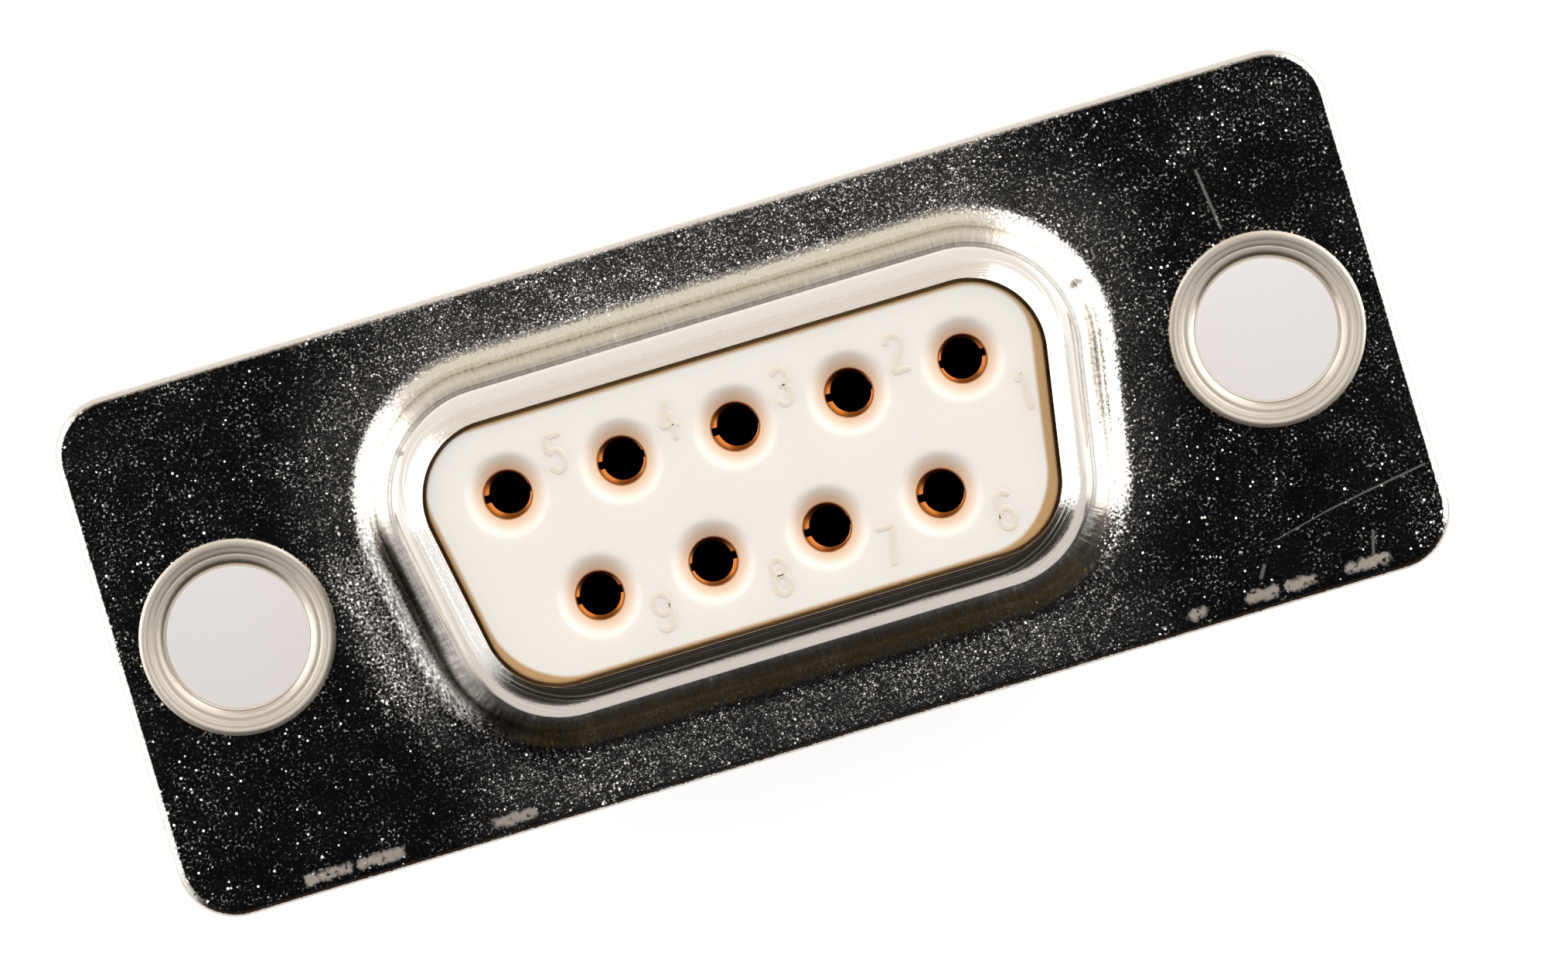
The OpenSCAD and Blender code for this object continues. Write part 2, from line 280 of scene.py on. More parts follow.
def foot_path(slope, foot_r, ease_r, ease_deg=4.0, steps=40):
    """Path of the sheet from the flange into the wall, and its tilt.

    The tilt t runs from 0 to 90 - slope. The radius at tilt t is foot_r plus ease_r fading out over
    the first degrees, and the path is the running sum of radius * (-cos t, sin t).
    """
    tilt = np.radians(np.linspace(0, 1, steps) ** 1.3 * (90 - slope))
    radius = foot_r + ease_r * np.exp(-np.degrees(tilt) / ease_deg)
    step = np.diff(tilt)[:, None] * (radius[1:] + radius[:-1])[:, None] / 2
    middle = (tilt[1:] + tilt[:-1]) / 2
    moved = np.cumsum(step * np.stack([-np.cos(middle), np.sin(middle)], axis=1), axis=0)
    return np.concatenate([[[0, 0]], moved]), tilt


def roll_centre(rim_u, height, slope, roll_r, turn):
    """Middle of a rim's roll as [u, z]: rim_u - r / cos(slope), height - r * sin(turn)."""
    slope, turn = np.radians([slope, turn])
    return np.array([rim_u - roll_r / np.cos(slope), height - roll_r * np.sin(turn)])


def drawn_section(rim_u, height, slope, foot_r, roll_r, turn, ease_r):
    """Open section of a drawn shell, from the flange's face over the rim to the flange's back.

    The trimming die cuts the rim upright, so the outside rolls further than the inside does, and
    the cut bulges a little. The drawing die stops once on its way and leaves a faint swelling round
    the wall, a bell curve.
    """
    lean = np.tan(np.radians(slope))
    roll_at = roll_centre(rim_u, height, slope, roll_r, turn)
    roll_z = roll_at[1]
    foot, tilt = foot_path(slope, foot_r, ease_r)
    foot = foot + [rim_u + (roll_z - foot[-1, 1]) * lean - foot[-1, 0], 0]
    under = foot - SHEET * np.stack([np.sin(tilt), np.cos(tilt)], axis=1)
    turn_in = np.degrees(np.arccos(roll_r * np.cos(np.radians(turn)) / (roll_r - SHEET)))
    roll = arc(roll_at, roll_r, slope, turn, 30)
    roll_in = arc(roll_at, roll_r - SHEET, turn_in, slope, 16)
    wall = foot[-1] + (roll[0] - foot[-1]) * np.linspace(0, 1, 60)[1:-1, None]
    from_line = (wall[:, 1] - (height - DIE_LINE_DOWN)) / DIE_LINE_WIDE
    wall[:, 0] += DIE_LINE * np.exp(-from_line**2)
    wall_in = roll_in[-1] + (under[-1] - roll_in[-1]) * np.linspace(0, 1, 8)[1:-1, None]
    cut = roll[-1] + (roll_in[0] - roll[-1]) * np.linspace(0.06, 0.94, 5)[:, None]
    cut[:, 0] -= CUT_BULGE
    return np.concatenate([
        [[FLAT_U, 0]], foot, wall, roll, cut, roll_in, wall_in, under[::-1], [[FLAT_U, -SHEET]]
    ])


print("a foot of 0.5 mm radius climbs", round(foot_path(5, 0.5, 0)[0][-1, 1], 2), "mm")

# %% [markdown]
# The flange is punched. The punch pulls the steel down in a small round along the front edge, and
# leaves a sharp edge behind. Both faces are flat, so they are cut into triangles between their
# outlines, and narrow strips make the outer edge and the walls of the rivet holes.

# %% Both shells
PUNCH_R = 0.18
BURR = 0.02
HOLE_R = 1.98


def shell_surfaces(section):
    """Surfaces of one shell with its flange's face at z = 0."""
    rim = np.concatenate([
        [[FLANGE_R - BURR, -SHEET], [FLANGE_R, -SHEET + BURR]],
        arc((FLANGE_R - PUNCH_R, -PUNCH_R), PUNCH_R, 0, 90, 8)
    ])
    wells = [ring((side * HOLE_X, 0), HOLE_R) for side in (-1, 1)]
    d_loop = outline(D_PATH, FLAT_U)
    parts = [
        surface(sweep(D_PATH, section)),
        surface(sweep(FLANGE_PATH, rim)),
        plate(outline(FLANGE_PATH, FLANGE_R - PUNCH_R), [d_loop, *wells], 0),
        plate(outline(FLANGE_PATH, FLANGE_R - BURR), [d_loop, *wells], -SHEET, up=False)
    ]
    for side in (-1, 1):
        wall = turned([(HOLE_R, 0), (HOLE_R, -SHEET)], (side * HOLE_X, 0))
        parts.append(surface(wall))
    return parts


def mirrored(parts):
    """The same surfaces behind the flanges, where z becomes the rear flange's height minus z."""
    return [(points * [1, 1, -1] + [0, 0, REAR_FLANGE_Z], faces[:, ::-1])
            for points, faces in parts]


DRAFT, REAR_DRAFT = 5.5, 2.0
RIM_U, REAR_RIM_U = 2.534, 3.81
ROLL_R, REAR_ROLL_R = 1.3, 0.85
ROLL_TURN, REAR_ROLL_TURN = 64.3, 78.0
FOOT_R, REAR_FOOT_R = 0.55, 0.5
EASE_R, REAR_EASE_R = 1.5, 0.5
REAR_DEPTH = REAR_FLANGE_Z - REAR_RIM_Z
front_section = drawn_section(RIM_U, RIM_Z, DRAFT, FOOT_R, ROLL_R, ROLL_TURN, EASE_R)
rear_section = drawn_section(REAR_RIM_U, REAR_DEPTH, REAR_DRAFT, REAR_FOOT_R, REAR_ROLL_R,
                             REAR_ROLL_TURN, REAR_EASE_R)
front_skin = solid("front_shell_skin", shell_surfaces(front_section),
                   ["front_shell"])
rear_skin = solid("rear_shell_skin", mirrored(shell_surfaces(rear_section)),
                  ["rear_shell"])

# %% [markdown]
# ## The mouldings
#
# The front moulding fills the shroud: a wide foot, a tapered body, a shoulder under the roll and a
# nose whose face lies just below the rim. Each contact has a dish in that face, which steers a pin
# into the hole. The edge of a dish is soft on the real part, so the dish is a sphere that blends
# into the flat, and not one that cuts it.

# %% Front insulator
NOSE_U, FACE_ROUND = 1.7, 0.08
FOOT_U, FOOT_BEVEL, FOOT_STEP, BODY_FIT = 3.4, 0.05, 0.02, 0.05
SHOULDER_TURN = 50
DISH_R, DISH_DEPTH, DISH_REACH, BLEND = 0.93, 0.4, 1.1, 0.045
ENTRY_R, ENTRY_DRAFT, ENTRY_MARGIN = 0.55, 3.0, 0.045
LIP_DROP, LIP_BEVEL = 0.05, (0.012, 0.02)
CHAMBER_R, SEAT_R, SEAT_Z, CEILING_Z = 0.93, 1.23, SPLIT_Z + 0.5, SOCKET_Z + 0.08


def dish_profile():
    """Section of one contact's space, from the face down: dish, guide hole, chamber, collar's seat.

    The dish is the soft minimum of the flat face and a sphere: -k * log(exp(-a/k) + exp(-b/k)).
    """
    sphere_r = (DISH_R**2 + DISH_DEPTH**2) / (2 * DISH_DEPTH)
    r = np.linspace(DISH_REACH, ENTRY_R + ENTRY_MARGIN, 22)
    ball = sphere_r - DISH_DEPTH - np.sqrt(sphere_r**2 - r**2)
    z = FACE_Z - BLEND * np.log(1 + np.exp(-ball / BLEND))
    z[0] = FACE_Z
    lip_z = z[-1] - LIP_DROP
    wall_r = ENTRY_R + (lip_z - CEILING_Z) * np.tan(np.radians(ENTRY_DRAFT))
    return np.array([
        *np.stack([r, z], axis=1), np.add((wall_r, lip_z), LIP_BEVEL), (wall_r, lip_z),
        (ENTRY_R, CEILING_Z), (CHAMBER_R, CEILING_Z), (CHAMBER_R, SEAT_Z), (SEAT_R, SEAT_Z),
        (SEAT_R, SPLIT_Z)
    ])


def front_moulding():
    """Surfaces of the front insulator: its side, its two faces, and nine spaces for contacts."""
    slope = np.radians(DRAFT)
    centre = roll_centre(RIM_U, RIM_Z, DRAFT, ROLL_R, ROLL_TURN)
    shoulder = arc(centre, ROLL_R - SHEET - BODY_FIT, DRAFT, SHOULDER_TURN, 10)
    body_u = RIM_U + (centre[1] + SHEET) * np.tan(slope) - (SHEET + BODY_FIT) / np.cos(slope)
    side = np.concatenate([
        [[FOOT_U - FOOT_BEVEL, SPLIT_Z], [FOOT_U, SPLIT_Z + FOOT_BEVEL]],
        [[FOOT_U, -SHEET - FOOT_STEP], [FOOT_U - FOOT_BEVEL, -SHEET], [body_u, -SHEET]],
        shoulder, [[NOSE_U, shoulder[-1, 1]]],
        arc((NOSE_U - FACE_ROUND, FACE_Z - FACE_ROUND), FACE_ROUND, 0, 90, 10)
    ])
    dishes, seats = ([ring(c, r) for c in SOCKETS] for r in (DISH_REACH, SEAT_R))
    parts = [
        surface(sweep(D_PATH, side)),
        plate(outline(D_PATH, NOSE_U - FACE_ROUND), dishes, FACE_Z),
        plate(outline(D_PATH, FOOT_U - FOOT_BEVEL), seats, SPLIT_Z, up=False)
    ]
    return parts + [surface(turned(dish_profile(), c)) for c in SOCKETS]


front_body = solid("front_insulator_moulding", front_moulding(),
                   ["front_insulator"], sharp=40)

# %% [markdown]
# The rear moulding closes the chambers from behind. It is plain: a block in the rear shell, with
# nine holes that let the shanks through and a low nose that stands out of the steel. A moulding's
# rear face has softly rounded edges, and so have its holes.

# %% Rear insulator
SHANK_HOLE_R, HOLE_ROUND = 0.83, 0.08
REAR_NOSE_U, REAR_ROUND, REAR_BEVEL = 2.913, 0.15, 0.03
REAR_SHOULDER_TURN = 75


def rear_moulding():
    """Surfaces of the rear insulator, built nose up and mirrored under the rear flange."""
    nose, top = REAR_FLANGE_Z - REAR_FACE_Z, REAR_FLANGE_Z - SPLIT_Z
    centre = roll_centre(REAR_RIM_U, REAR_DEPTH, REAR_DRAFT, REAR_ROLL_R, REAR_SHOULDER_TURN)
    shoulder = arc(centre, REAR_ROLL_R - SHEET - BODY_FIT, REAR_DRAFT, REAR_SHOULDER_TURN, 10)
    side = np.concatenate([
        [[FOOT_U - REAR_BEVEL, top], [FOOT_U, top + REAR_BEVEL]], shoulder,
        [[REAR_NOSE_U, shoulder[-1, 1]]],
        arc((REAR_NOSE_U - REAR_ROUND, nose - REAR_ROUND), REAR_ROUND, 0, 90, 8)
    ])
    hole = np.concatenate([
        arc((SHANK_HOLE_R + HOLE_ROUND, nose - HOLE_ROUND), HOLE_ROUND, 90, 180, 6),
        [[SHANK_HOLE_R, top]]
    ])
    rims, walls = ([ring(c, r) for c in SOCKETS] for r in (hole[0, 0], SHANK_HOLE_R))
    parts = [
        surface(sweep(D_PATH, side)),
        plate(outline(D_PATH, REAR_NOSE_U - REAR_ROUND), rims, nose),
        plate(outline(D_PATH, FOOT_U - REAR_BEVEL), walls, top, up=False)
    ]
    return mirrored(parts + [surface(turned(hole, c)) for c in SOCKETS])


rear_body = solid("rear_insulator_moulding", rear_moulding(),
                  ["rear_insulator"])

# %% [markdown]
# ## The contacts
#
# A contact is turned from rod: solder cup, shank, collar and a thin barrel, which is slit into two
# tines. One profile runs from the floor of the socket bore, over the mouth, down the outside, round
# the cup's end and up to the cup's floor. The slit and the open side of the cup are made by holding
# the ends back: at each angle, no point may lie above the mouth there, nor below the cup's end. No
# barrel stands quite straight in its chamber, so each has a small lean of its own. A mark on each
# point says whether it lies in the socket's bore, where the finish will differ.

# %% Nine contacts
BORE_R, BARREL_R, SHANK_R, COLLAR_R, CUP_R = 0.52, 0.85, 0.75, 1.15, 0.55
BORE_DEPTH, BEVEL, MOUTH_DROP, SLIT, TINE, GRIP = 5.4, 0.1, 0.035, 0.2, 3.6, 0.08
CUP_DEPTH, CUP_OPEN, CUP_BEVEL, CUP_CONE, SCOOP_R = 3.2, 1.7, 0.03, 0.15, 0.9
SCOOP_Y = CUP_R / 4
COLLAR_TOP, EDGE = SPLIT_Z + 0.5, 0.04
LEAN = np.array([
    (-0.02, 0.01), (0.05, 0.01), (0.06, 0.01), (0.04, 0.015), (0.05, 0.02),
    (0.07, 0.01), (0.06, 0.0), (-0.02, 0.005), (0.01, 0.01)
])


def contact_profile():
    """Section of a contact as [r, z] points, in fine steps where slit and scoop cut it."""
    tines = np.linspace(SOCKET_Z - BEVEL, SOCKET_Z - TINE, 5)
    cup = CUP_END_Z + np.linspace(EDGE, CUP_OPEN + SCOOP_R, 30)
    floor_z, cup_floor_z = SOCKET_Z - BORE_DEPTH, CUP_END_Z + CUP_DEPTH
    return np.array([
        (0, floor_z), (BORE_R, floor_z), *[(BORE_R, z) for z in tines[::-1]],
        (BORE_R, SOCKET_Z - MOUTH_DROP), (BORE_R + BEVEL, SOCKET_Z), (BARREL_R - BEVEL, SOCKET_Z),
        *[(BARREL_R, z) for z in tines],
        (BARREL_R, COLLAR_TOP), (COLLAR_R - EDGE, COLLAR_TOP), (COLLAR_R, COLLAR_TOP - EDGE),
        (COLLAR_R, SPLIT_Z + EDGE), (COLLAR_R - EDGE, SPLIT_Z), (SHANK_R, SPLIT_Z),
        *[(SHANK_R, z) for z in cup[::-1]],
        (SHANK_R - CUP_BEVEL, CUP_END_Z), (CUP_R + CUP_BEVEL, CUP_END_Z),
        *[(CUP_R, z) for z in cup], (CUP_R, cup_floor_z), (0, cup_floor_z + CUP_CONE)
    ])


def angles(r):
    """Angles round a contact at radius r, with two columns a hair apart on each edge of a cut.

    The slit cuts both sides, about 0 and half a turn, and the scoop takes what lies over its edge.
    Each stretch between two of these keys is divided evenly.
    """
    r = max(r, BORE_R)
    slit, scoop = np.arcsin(SLIT / 2 / r), np.arcsin(SCOOP_Y / r)
    tiny = 0.002
    keys = np.array([
        -slit - tiny, -slit, slit, slit + tiny, scoop, scoop + tiny, np.pi - scoop - tiny,
        np.pi - scoop, np.pi - slit - tiny, np.pi - slit, np.pi + slit, np.pi + slit + tiny,
        2 * np.pi - slit - tiny
    ])
    counts = [1, 4, 1, 3, 1, 28, 1, 3, 1, 4, 1, 28]
    return np.concatenate([np.linspace(a, b, n, endpoint=False)
                           for a, b, n in zip(keys[:-1], keys[1:], counts)])


def contact_surface(place, away, lean):
    """Grid of one contact: (r cos a, r sin a, z), with z held between the cup's end and the mouth.

    The mouth drops by the tines' length inside the slit, where |y| is under half its width. The
    cup's end rises where y is over the scoop's edge, to the round that the cutter leaves. The tines
    close in by a few hundredths towards the mouth, which is what grips a pin, and the barrel leans
    a little within the play of its chamber.
    """
    profile = contact_profile()
    angle = np.stack([angles(r) for r in profile[:, 0]])
    r, z = profile[:, :1], profile[:, 1:]
    wall = np.maximum(r, BORE_R)
    x, y = r * np.cos(angle), r * np.sin(angle)
    edge = wall * np.sin(angle)
    mouth = np.where(np.abs(edge) < SLIT / 2 + 1e-6, SOCKET_Z - TINE, SOCKET_Z)
    round_y = np.clip(edge - SCOOP_Y - SCOOP_R, -SCOOP_R, SCOOP_R)
    scoop = CUP_END_Z + CUP_OPEN + np.sqrt(SCOOP_R**2 - round_y**2)
    cup_end = np.where(edge > SCOOP_Y + 1e-6, scoop, CUP_END_Z)
    z = np.where(r > 0, np.clip(z, cup_end, mouth), z)
    share = np.clip((z - COLLAR_TOP) / (SOCKET_Z - COLLAR_TOP), 0, 1) ** 2
    grip = 1 - GRIP * share
    x = grip * x * away + place[0] + share * lean[0]
    y = grip * y * away + place[1] + share * lean[1]
    return np.stack([x, y, z], axis=-1).transpose(1, 0, 2)


contacts = []
for n, (place, lean) in enumerate(zip(SOCKETS, LEAN), start=1):
    away = 1 if n <= 5 else -1
    grid = contact_surface(place, away, lean)
    contact = solid(f"socket_contact_{n}", [surface(grid, flip=True)],
                    [f"contact_{n}"], sharp=30)
    points = np.empty(len(contact.data.vertices) * 3)
    contact.data.vertices.foreach_get("co", points)
    points = points.reshape(-1, 3) / MM
    in_bore = np.hypot(*(points[:, :2] - place).T) < BORE_R + 0.9 * BEVEL
    in_bore &= points[:, 2] > SOCKET_Z - BORE_DEPTH - 2 * BEVEL
    bore = contact.data.attributes.new("bore", "FLOAT", "POINT")
    bore.data.foreach_set("value", in_bore.astype(np.float32))
    contacts.append(contact)

# %% [markdown]
# ## The eyelets
#
# Each eyelet is a short tube whose ends are rolled out over the two flanges. The roll leaves a
# shallow funnel with a rounded edge, and the tool burnishes the throat.

# %% Two eyelets
BORE, HEAD = 1.65, (EYELET_HIGH[0] - EYELET_LOW[0]) / 2
HEAD_T = EYELET_HIGH[2]
TUBE, HEAD_ROUND, HEAD_BEVEL = 0.3, 0.1, 0.03
THROAT, THROAT_DROP = 0.26, 0.05
RING_IN, FUNNEL_IN, FUNNEL_TOP, FUNNEL_DROP = 0.02, 0.06, 0.001, 0.04


def eyelet_profile():
    """Closed section of an eyelet: throat, funnel, rounded edge, and the same behind."""
    funnel_r = np.linspace(HEAD - HEAD_ROUND - RING_IN, BORE + THROAT + FUNNEL_IN, 6)
    funnel_z = HEAD_T - np.linspace(FUNNEL_TOP, FUNNEL_DROP, 6)
    top = np.concatenate([
        [[BORE + TUBE, 0], [HEAD - HEAD_BEVEL, 0]],
        arc((HEAD - HEAD_ROUND, HEAD_T - HEAD_ROUND), HEAD_ROUND, 0, 85, 10),
        np.stack([funnel_r, funnel_z], axis=1),
        arc((BORE + THROAT, HEAD_T - THROAT_DROP - THROAT), THROAT, 80, 180, 16)
    ])
    low = top[::-1] * [1, -1] + [0, REAR_FLANGE_Z]
    return np.concatenate([top, low, top[:1]])


eyelets = []
for side, name in ((-1, "left"), (1, "right")):
    grid = turned(eyelet_profile(), (side * HOLE_X, 0), 160)
    eyelets.append(solid(f"eyelet_{name}_rolled", [surface(grid)],
                         [f"eyelet_{name}"], sharp=50))

# %% [markdown]
# ## The moulded numbers
#
# The tool that cut the mould wrote the contact numbers with one round cutter, so every stroke has
# the same width and round ends. Each number is a few centre lines, and a low round ridge is carried
# along each line.

# %% Contact numbers
W, H, STROKE, RAISED = 0.17, 0.42, 0.16, 0.012


def oval(x, y, rx, ry, start, end):
    """Points on an arc of an oval, angles in degrees."""
    a = np.radians(np.linspace(start, end, 24))
    return np.stack([x + rx * np.cos(a), y + ry * np.sin(a)], axis=1)


SIX = [np.concatenate([oval(0.02, H - 0.2, W, 0.2, 50, 180), [(-W, 0.1), (-W, -0.15)]]),
       oval(0, 0.24 - H, W, 0.24, 0, 360)]
STROKES = {
    1: [[(-0.09, 0.27), (0.02, H), (0.02, -H)]],
    2: [np.concatenate([oval(0, H - 0.19, W, 0.19, 165, -30), [(-W, -H), (W, -H)]])],
    3: [oval(0, H - 0.2, 0.16, 0.2, 145, -90), oval(0, 0.23 - H, W, 0.23, 90, -145)],
    4: [[(0.04, H), (-W, -0.12), (W, -0.12)], [(0.08, 0.12), (0.08, -H)]],
    5: [np.concatenate([[(W, H), (-0.14, H), (-0.15, 0.05)],
                        oval(0, 0.25 - H, W, 0.25, 125, -145)])],
    6: SIX,
    7: [[(-W, H), (W, H), (-0.04, -H)]],
    8: [oval(0, H - 0.2, 0.15, 0.2, 0, 360), oval(0, 0.23 - H, W, 0.23, 0, 360)],
    9: [-stroke for stroke in SIX]
}
NUMBER_AT = {
    1: (6.66, 0.33), 2: (4.04, 1.99), 3: (1.3, 2.0), 4: (-1.45, 2.0), 5: (-4.17, 2.02),
    6: (5.42, -2.22), 7: (2.66, -2.22), 8: (0.02, -2.2), 9: (-2.8, -2.2)
}


def ridge(line):
    """Grid of a round ridge along a line, closed at both ends.

    Across the line it is an oval, half above the face. Over half a stroke at each end its size
    falls as the square root of 1 - t * t, which rounds the end off.
    """
    line = np.asarray(line, float)
    side = np.hypot(*np.diff(line, axis=0).T)
    at = np.concatenate([[0], np.cumsum(side)])
    cap = STROKE / 2
    run = np.arange(0, at[-1], 0.02)
    place = np.concatenate([-cap * np.cos(np.linspace(0, np.pi / 2, 6)), run[1:],
                            at[-1] + cap * np.sin(np.linspace(0, np.pi / 2, 6))])
    inside_at = np.clip(place, 0, at[-1])
    x, y = np.interp(inside_at, at, line[:, 0]), np.interp(inside_at, at, line[:, 1])
    seen = np.clip(np.searchsorted(at, inside_at, side="right") - 1, 0, len(side) - 1)
    ahead = np.diff(line, axis=0)[seen] / side[seen, None]
    over = place - inside_at
    size = np.sqrt(np.clip(1 - (over / cap) ** 2, 0, 1))
    a = np.linspace(0, 2 * np.pi, 14, endpoint=False)
    across = size[None] * cap * np.cos(a)[:, None]
    return np.stack([x + over * ahead[:, 0] - across * ahead[:, 1],
                     y + over * ahead[:, 1] + across * ahead[:, 0],
                     size[None] * RAISED * np.sin(a)[:, None]], axis=-1)


number_parts = [surface(ridge(stroke) + [*NUMBER_AT[n], FACE_Z])
                for n, strokes in STROKES.items() for stroke in strokes]
numbers = solid("contact_numbers", number_parts, sharp=80)

# %% [markdown]
# ## Finishes
#
# Every material starts from what the real part is made of and how it was made. Patterns are laid
# out in millimetres on the piece itself, so they stay put from every side. A node tree is a sum
# written as boxes, so one helper that adds a box and links it is all that the sums below need. The
# others say where a region is and what colours lie over each other.

# %% Colours and nodes


def colour(hex_value):
    """sRGB hex to linear red, green, blue and alpha: ((c + 0.055) / 1.055) ** 2.4 above 0.04045."""
    c = np.array([int(hex_value[i:i + 2], 16) for i in (1, 3, 5)]) / 255
    linear = np.where(c <= 0.04045, c / 12.92, ((c + 0.055) / 1.055) ** 2.4)
    return (*linear.tolist(), 1.0)


def feed(node, *values, **named):
    """Set a node's inputs: the first ones in order, and others by name.

    A value that is another node's output is linked. In a name, an underscore stands for a space.
    """
    live = [socket for socket in node.inputs if socket.enabled]
    by_name = [(node.inputs[key.replace("_", " ")], value) for key, value in named.items()]
    for socket, value in [*zip(live, values), *by_name]:
        if isinstance(value, bpy.types.NodeSocket):
            tree.links.new(value, socket)
        else:
            socket.default_value = value


def add(kind, *values, **named):
    """Add a node to the tree in hand and return its first output, whose .node leads to the others.

    A word after the kind is its operation, and a name in lower case is another setting. The rest
    feeds its inputs. With more values than inputs, as in a sum of three, the result goes on into
    another node of the same kind.
    """
    name, _, operation = kind.partition(" ")
    node = tree.nodes.new("ShaderNode" + name)
    if operation:
        node.operation = operation
    for key in [key for key in named if key.islower()]:
        setattr(node, key, named.pop(key))
    room = sum(socket.enabled for socket in node.inputs)
    feed(node, *values[:room], **named)
    result = next(socket for socket in node.outputs if socket.enabled)
    return add(kind, result, *values[room:]) if values[room:] else result


def region(*edges):
    """1 inside a region and 0 outside it: the product of a soft step for each of its edges.

    An edge is a value, where its step starts and where it is full. Another share from 0 to 1 can
    stand in an edge's place.
    """
    shares = [add("MapRange", *edge, interpolation_type="SMOOTHSTEP") if isinstance(edge, tuple)
              else edge for edge in edges]
    return add("Math MULTIPLY", *shares) if shares[1:] else shares[0]


def layered(ground, *layers):
    """Colours laid over a ground in turn. A layer is its share and its sRGB hex."""
    result = colour(ground)
    for share, hex_value in layers:
        result = add("Mix", share, result, colour(hex_value), data_type="RGBA")
    return result


def finish(name):
    """A new material, its tree and its surface shader."""
    material = bpy.data.materials.new(name)
    material.use_nodes = True
    return material, material.node_tree, material.node_tree.nodes["Principled BSDF"]


def millimetres():
    """Places on the piece in millimetres, as a vector and as x, y and z."""
    place = add("VectorMath SCALE", add("TexCoord").node.outputs["Object"], 1 / MM)
    return place, *add("SeparateXYZ", place).node.outputs


def dress(material, *pieces):
    """Give pieces their only material."""
    for piece in pieces:
        piece.data.materials.clear()
        piece.data.materials.append(material)
    print(f"{material.name}: {len(material.node_tree.nodes)} nodes, on {len(pieces)} piece(s)")


print("cream in linear light:", np.round(colour("#f7f0e8"), 3))

# %% [markdown]
# ### Bright tin plate
#
# The shells are mild steel sheet with a thin coat of tin, laid on in a bath and left bright. The
# patterns follow the sheet, so the first step is to know where on it a point lies: how far outside
# the D's core, on the flat of the flange or on a wall, in the foot that the press has stretched, or
# in the strips along the flange's two long edges.

# %% Places on the sheet
material, tree, shader = finish("bright_tin_plate")
place, x, y, z = millimetres()


def outside_core(x, y):
    """Distance outside the D's core: length of (|x| - half width at y, |y| - half height)."""
    half = add("Math MULTIPLY_ADD", y, float(np.tan(END_SLOPE)), (CORE_WIDE + CORE_NARROW) / 2)
    dx, dy = (add("Math MAXIMUM", add("Math SUBTRACT", add("Math ABSOLUTE", value), limit), 0.0)
              for value, limit in ((x, half), (y, CORE_Y)))
    return add("Math SQRT", add("Math ADD", add("Math MULTIPLY", dx, dx),
                                add("Math MULTIPLY", dy, dy)))


u = outside_core(x, y)
off_centre = add("Math ABSOLUTE", x)
from_joint = add("Math ABSOLUTE", add("Math ADD", z, SHEET))
flat = region((from_joint, SHEET + 0.9, SHEET + 0.3))
wall = add("Math SUBTRACT", 1.0, flat)
front = region((z, -0.3, -0.1))
left_end = region((x, -5.2, -6.4))
stretched = region((u, 5.6, 3.4), flat)
long_edges = add("Math ADD", region((y, 4.6, 5.0)), region((y, -4.5, -4.9)))
strips = region((off_centre, 10.0, 6.0), long_edges)
print("nodes that find places on the sheet:", len(tree.nodes))

# %% [markdown]
# Tin forms small crystals, about 0.05 to 0.1 mm wide, each tilted a degree or two. That makes the
# flat flange look black with bright specks under a dark ceiling: most crystals mirror the ceiling,
# and the steep ones catch a light at the side. Where the press has stretched the sheet, the surface
# is rougher, so more specks show. The drawn wall was ironed by the die and is smoother, with faint
# lines round it. One shallow dent at the left of the foot tilts the steel as well.

# %% Tilts of the tin
HALF = (0.5, 0.5, 0.5)
CELLS_PER_MM, GRAINS_PER_MM = 13.0, 15.0


def grains(place, per_mm, detail):
    """A random tilt for each grain, about -1 to 1 on every axis: 2 * (noise - 0.5)."""
    noise = add("TexNoise", place, Scale=per_mm, Detail=detail, Roughness=0.6).node.outputs
    return add("VectorMath SCALE", add("VectorMath SUBTRACT", noise["Color"], HALF), 2.0)


patchy = region((add("TexNoise", place, Scale=0.5, Detail=3.0), 0.35, 0.7))
cells = add("TexVoronoi", place, Scale=CELLS_PER_MM).node.outputs
pick = add("VectorMath SUBTRACT", cells["Color"], HALF)
chance = add("Math POWER", add("VectorMath LENGTH", pick), 6.5)
amount = add("Math MULTIPLY_ADD", patchy, 1.8, 0.9)
amount = add("Math MULTIPLY", amount, flat, chance, region((cells["Distance"], 0.6, 0.1)))
specks = add("VectorMath SCALE", add("VectorMath MULTIPLY", pick, (2.0, 2.0, 0.0)), amount)

fine = grains(place, GRAINS_PER_MM, 2.0)
steep = add("VectorMath LENGTH", fine)
steep = add("Math MULTIPLY_ADD", add("Math MULTIPLY", steep, steep), 2.5, 0.4)
skin = add("Math MULTIPLY_ADD", patchy, 0.16, 0.13)
skin = add("Math MULTIPLY_ADD", strips, 0.16, skin)
skin = add("Math MULTIPLY_ADD", stretched, 0.2, skin)
on_lip = region((z, RIM_Z - 0.5, RIM_Z - 0.1))
skin_share = add("Math MULTIPLY_ADD", on_lip, 0.5, add("Math MULTIPLY_ADD", flat, 0.8, 0.2))
fine = add("VectorMath SCALE", fine, add("Math MULTIPLY", steep, skin, skin_share))

dented = region((x, 0.0, -1.0), (u, 3.0, 3.5), (u, 5.2, 4.2), (y, -4.2, -2.2), (y, 1.8, 0.6))
dent = add("VectorMath SCALE", (-0.1, 0.03, 0.0), dented)

die_lines = add("TexNoise", add("VectorMath MULTIPLY", place, (0.5, 0.5, 24.0)), Scale=1.0,
                Detail=2.0)
lines = add("VectorMath SUBTRACT", die_lines.node.outputs["Color"], HALF)
lines = add("VectorMath SCALE", lines, add("Math MULTIPLY", wall, 0.06))

